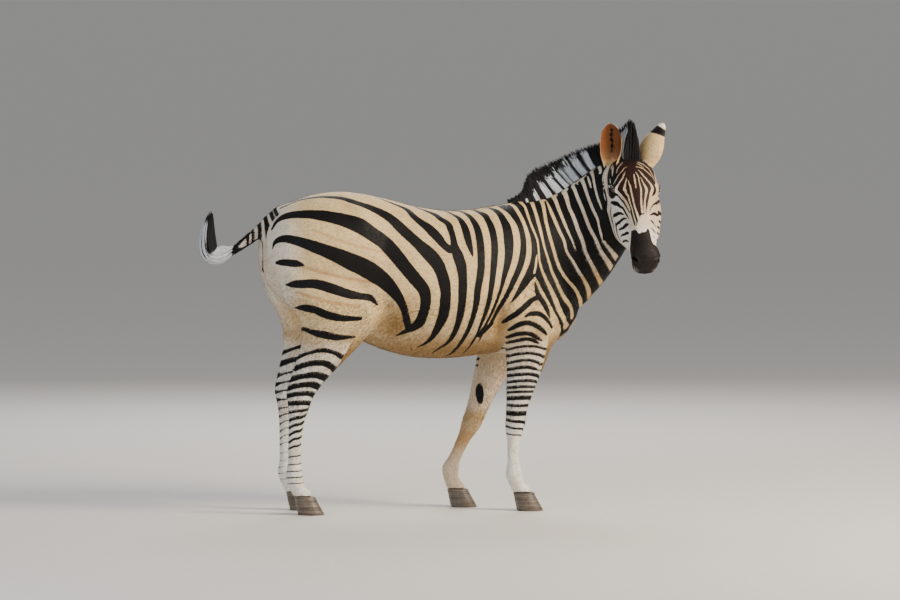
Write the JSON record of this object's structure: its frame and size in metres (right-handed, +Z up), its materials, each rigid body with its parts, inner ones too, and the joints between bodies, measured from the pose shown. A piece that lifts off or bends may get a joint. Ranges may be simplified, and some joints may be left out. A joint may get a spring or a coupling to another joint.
{
  "type": "standing plains zebra model",
  "caption": "Life-size model of an adult plains zebra standing square on its hooves, neck raised and head turned to its right, tail swished out behind.",
  "frame": {"origin": "centre of the bounding box at the level of the four soles, on the floor under the middle of the belly", "axes": "+X towards the animal's front (the way its trunk faces), +Y towards its left side, +Z up; its head is turned towards -Y"},
  "size_m": [2.0139, 0.7101, 1.6649],
  "materials": {
    "coat": "short flat hair in cream and near-black stripes",
    "mane_hair": "coarse upright hair, banded white and black",
    "tuft_hair": "long coarse hair, white at the root and black at the tip",
    "ear_skin": "thin haired skin, white with a black band and a white tip",
    "hoof_horn": "dark grey-brown horn, dull",
    "eye": "wet, very dark brown"
  },
  "bodies": {
    "root": {"trunk": "coat", "neck": "coat", "head": "coat", "ear_left": "ear_skin", "ear_right": "ear_skin", "eye_left": "eye", "eye_right": "eye", "mane": "mane_hair", "tail_dock": "coat", "tail_tuft": "tuft_hair", "leg_front_left_upper": "coat", "leg_front_left_lower": "coat", "hoof_front_left": "hoof_horn", "leg_front_right_upper": "coat", "leg_front_right_lower": "coat", "hoof_front_right": "hoof_horn", "leg_hind_left_upper": "coat", "leg_hind_left_lower": "coat", "hoof_hind_left": "hoof_horn", "leg_hind_right_upper": "coat", "leg_hind_right_lower": "coat", "hoof_hind_right": "hoof_horn"}
  },
  "joints": []
}
